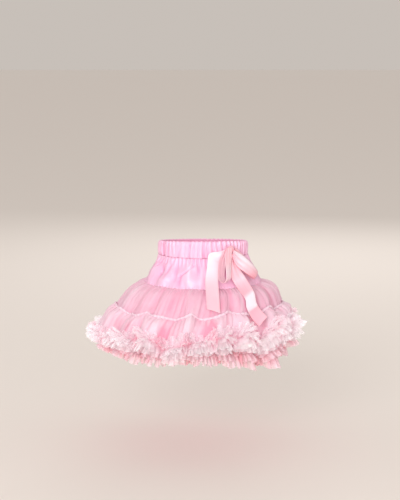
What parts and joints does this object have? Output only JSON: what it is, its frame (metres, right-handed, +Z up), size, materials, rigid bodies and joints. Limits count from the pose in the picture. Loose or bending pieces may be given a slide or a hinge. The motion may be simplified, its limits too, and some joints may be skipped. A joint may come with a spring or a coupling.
{
  "type": "pettiskirt",
  "caption": "Child's pettiskirt with an elastic satin waist, a hip yoke, gathered net tiers ending in full two-edged chiffon ruffles, and a satin ribbon bow, shown as worn.",
  "frame": {"origin": "middle of the waist opening, where the elastic casing's top edge holds on the wearer", "axes": "+Z up along the wearer's body, -Y the wearer's front, +X the wearer's left, where the bow is tied"},
  "size_m": [0.4356, 0.4097, 0.2254],
  "materials": {
    "satin": "soft lilac-pink satin, pale highlights on the folds",
    "net": "fine pink net, matt, slightly see-through",
    "underskirt_net": "deeper pink net, matt",
    "ruffle": "crinkled pale pink chiffon with salmon depths",
    "ribbon": "salmon-pink single-face satin with near-white highlights"
  },
  "bodies": {
    "root": {"waistband": "satin", "yoke": "satin", "upper_tier": "net", "lower_tier": "net", "hem_ruffle": "ruffle", "underskirt": "underskirt_net", "under_ruffle": "ruffle", "bow_knot": "ribbon", "bow_loop_left": "ribbon", "bow_loop_right": "ribbon", "bow_tail_left": "ribbon", "bow_tail_right": "ribbon"}
  },
  "joints": []
}
